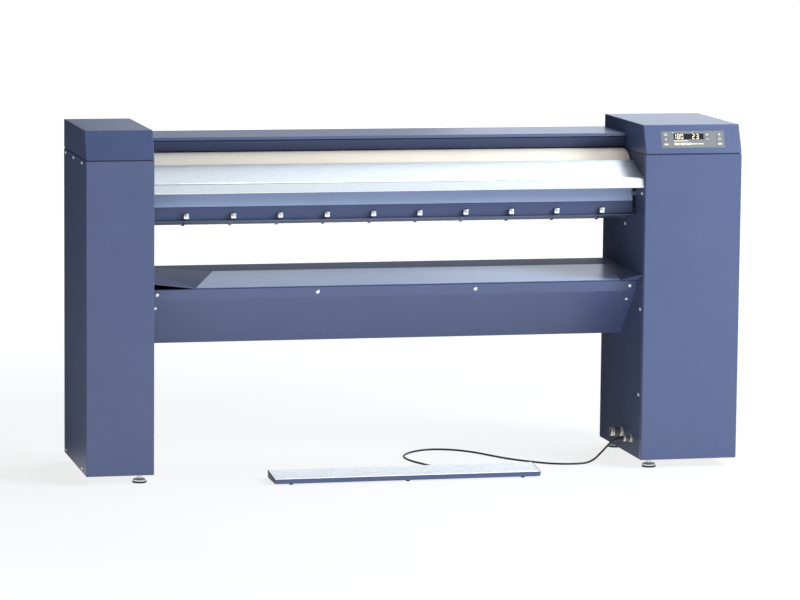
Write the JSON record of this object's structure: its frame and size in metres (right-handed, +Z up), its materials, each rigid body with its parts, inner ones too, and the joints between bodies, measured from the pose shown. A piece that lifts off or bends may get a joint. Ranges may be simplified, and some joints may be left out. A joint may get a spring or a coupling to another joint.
{
  "type": "flatwork ironer",
  "caption": "Roller ironer between two sheet-metal columns, with a padded roller, heated trough, feed table, delivery tray, control panel and wired foot bar.",
  "frame": {"origin": "on the floor, in the middle of the machine and its foot bar", "axes": "+X along the roller from the plain column to the control column, +Y from the operator to the back, +Z up"},
  "size_m": [1.97, 0.528, 1.027],
  "materials": {
    "blue_coat": "semi-gloss blue powder coat",
    "tray_steel": "semi-gloss blue powder coat",
    "table_steel": "fine brushed stainless",
    "frame_steel": "galvanised",
    "bright_steel": "turned and bright plated",
    "guard_coat": "semi-gloss blue powder coat",
    "roller_steel": "plain drawn",
    "chain_steel": "oiled",
    "bearing_iron": "painted casting",
    "trough_aluminium": "polished inside",
    "roller_cloth": "woven heat-resistant cover",
    "roller_padding": "needled felt",
    "lagging_foil": "foil-faced lagging",
    "motor_grey": "matt enamel",
    "foot_rubber": "matt",
    "cord_black": "smooth sheath",
    "black_plastic": "moulded",
    "gland_grey": "moulded",
    "panel_foil": "printed foil",
    "display_tint": "tinted window",
    "key_plastic": "moulded",
    "board_green": "lacquered board"
  },
  "bodies": {
    "machine": {"left_front_panel": "blue_coat", "right_front_panel": "blue_coat", "outer_panels": "blue_coat", "inner_panels": "blue_coat", "back_panels": "blue_coat", "left_cap": "blue_coat", "right_cap": "blue_coat", "hood_cover": "blue_coat", "apron": "blue_coat", "tray_front": "blue_coat", "tray_back": "blue_coat", "foot_bar_base": "blue_coat", "tray_dish": "tray_steel", "rear_cover": "tray_steel", "feed_table": "table_steel", "table_brackets": "table_steel", "stripper_bar": "table_steel", "side_frames": "frame_steel", "base_plates": "frame_steel", "cap_frames": "frame_steel", "traverses": "frame_steel", "screws": "bright_steel", "foot_spindles": "bright_steel", "treadle_springs": "bright_steel", "outlet_fingers": "bright_steel", "drive_chain": "chain_steel", "bearings": "bearing_iron", "drive_motor": "motor_grey", "press_motor": "motor_grey", "rubber_feet": "foot_rubber", "cable": "cord_black", "foot_switch": "black_plastic", "switch_gland": "gland_grey", "supply_gland": "gland_grey", "control_fascia": "panel_foil", "display_window": "display_tint", "control_board": "board_green"},
    "roller": {"roller_cloth": "roller_cloth", "roller_padding": "roller_padding", "roller_tube": "roller_steel", "roller_ends": "bright_steel", "roller_sprocket": "chain_steel"},
    "motor_output": {"motor_sprocket": "chain_steel"},
    "trough": {"heated_trough": "trough_aluminium", "heating_rods": "bright_steel", "trough_jacket": "lagging_foil", "trough_arms": "frame_steel"},
    "press": {"press_shaft": "bright_steel", "press_cams": "bright_steel"},
    "guard": {"finger_guard": "guard_coat"},
    "treadle": {"foot_bar_treadle": "table_steel"},
    "key_left_1_body": {"key_left_1": "key_plastic"},
    "key_left_2_body": {"key_left_2": "key_plastic"},
    "key_left_3_body": {"key_left_3": "key_plastic"},
    "key_middle_1_body": {"key_middle_1": "key_plastic"},
    "key_middle_2_body": {"key_middle_2": "key_plastic"},
    "key_right_1_body": {"key_right_1": "key_plastic"},
    "key_right_2_body": {"key_right_2": "key_plastic"},
    "key_right_3_body": {"key_right_3": "key_plastic"}
  },
  "joints": [
    {"name": "roller_spin", "type": "hinge", "parent": "machine", "child": "roller", "pos_m": [-0.0495, 0.041, 0.838], "axis": [1, 0, 0], "continuous": true},
    {"name": "motor_spin", "type": "hinge", "parent": "machine", "child": "motor_output", "pos_m": [0.739, -0.03, 0.56], "axis": [1, 0, 0], "continuous": true},
    {"name": "trough_press", "type": "hinge", "parent": "machine", "child": "trough", "pos_m": [-0.0495, 0.12, 0.56], "axis": [1, 0, 0], "range_deg": [0, 2.47]},
    {"name": "press_turn", "type": "hinge", "parent": "machine", "child": "press", "pos_m": [-0.0495, 0.20549, 0.74472], "axis": [1, 0, 0], "range_deg": [0, 150.2]},
    {"name": "guard_swing", "type": "hinge", "parent": "machine", "child": "guard", "pos_m": [-0.0495, 0.031, 0.974], "axis": [1, 0, 0], "range_deg": [0, 8]},
    {"name": "treadle_press", "type": "hinge", "parent": "machine", "child": "treadle", "pos_m": [-0.046, -0.258, 0.014], "axis": [-1, 0, 0], "range_deg": [0, 1.8], "stiffness_Nm_per_rad": 20, "springref_deg": -5.73, "deforming": ["treadle_springs"]},
    {"name": "key_left_1_press", "type": "slide", "parent": "machine", "child": "key_left_1_body", "axis": [0, 0.9239, -0.3827], "range_m": [0, 0.0005], "stiffness_N_per_m": 600, "springref_m": -0.0005},
    {"name": "key_left_2_press", "type": "slide", "parent": "machine", "child": "key_left_2_body", "axis": [0, 0.9239, -0.3827], "range_m": [0, 0.0005], "stiffness_N_per_m": 600, "springref_m": -0.0005},
    {"name": "key_left_3_press", "type": "slide", "parent": "machine", "child": "key_left_3_body", "axis": [0, 0.9239, -0.3827], "range_m": [0, 0.0005], "stiffness_N_per_m": 600, "springref_m": -0.0005},
    {"name": "key_middle_1_press", "type": "slide", "parent": "machine", "child": "key_middle_1_body", "axis": [0, 0.9239, -0.3827], "range_m": [0, 0.0005], "stiffness_N_per_m": 600, "springref_m": -0.0005},
    {"name": "key_middle_2_press", "type": "slide", "parent": "machine", "child": "key_middle_2_body", "axis": [0, 0.9239, -0.3827], "range_m": [0, 0.0005], "stiffness_N_per_m": 600, "springref_m": -0.0005},
    {"name": "key_right_1_press", "type": "slide", "parent": "machine", "child": "key_right_1_body", "axis": [0, 0.9239, -0.3827], "range_m": [0, 0.0005], "stiffness_N_per_m": 600, "springref_m": -0.0005},
    {"name": "key_right_2_press", "type": "slide", "parent": "machine", "child": "key_right_2_body", "axis": [0, 0.9239, -0.3827], "range_m": [0, 0.0005], "stiffness_N_per_m": 600, "springref_m": -0.0005},
    {"name": "key_right_3_press", "type": "slide", "parent": "machine", "child": "key_right_3_body", "axis": [0, 0.9239, -0.3827], "range_m": [0, 0.0005], "stiffness_N_per_m": 600, "springref_m": -0.0005}
  ],
  "couplings": [
    {"joint": "motor_spin", "follows": "roller_spin", "ratio": 2},
    {"joint": "press_turn", "follows": "trough_press", "ratio": 60.65}
  ]
}
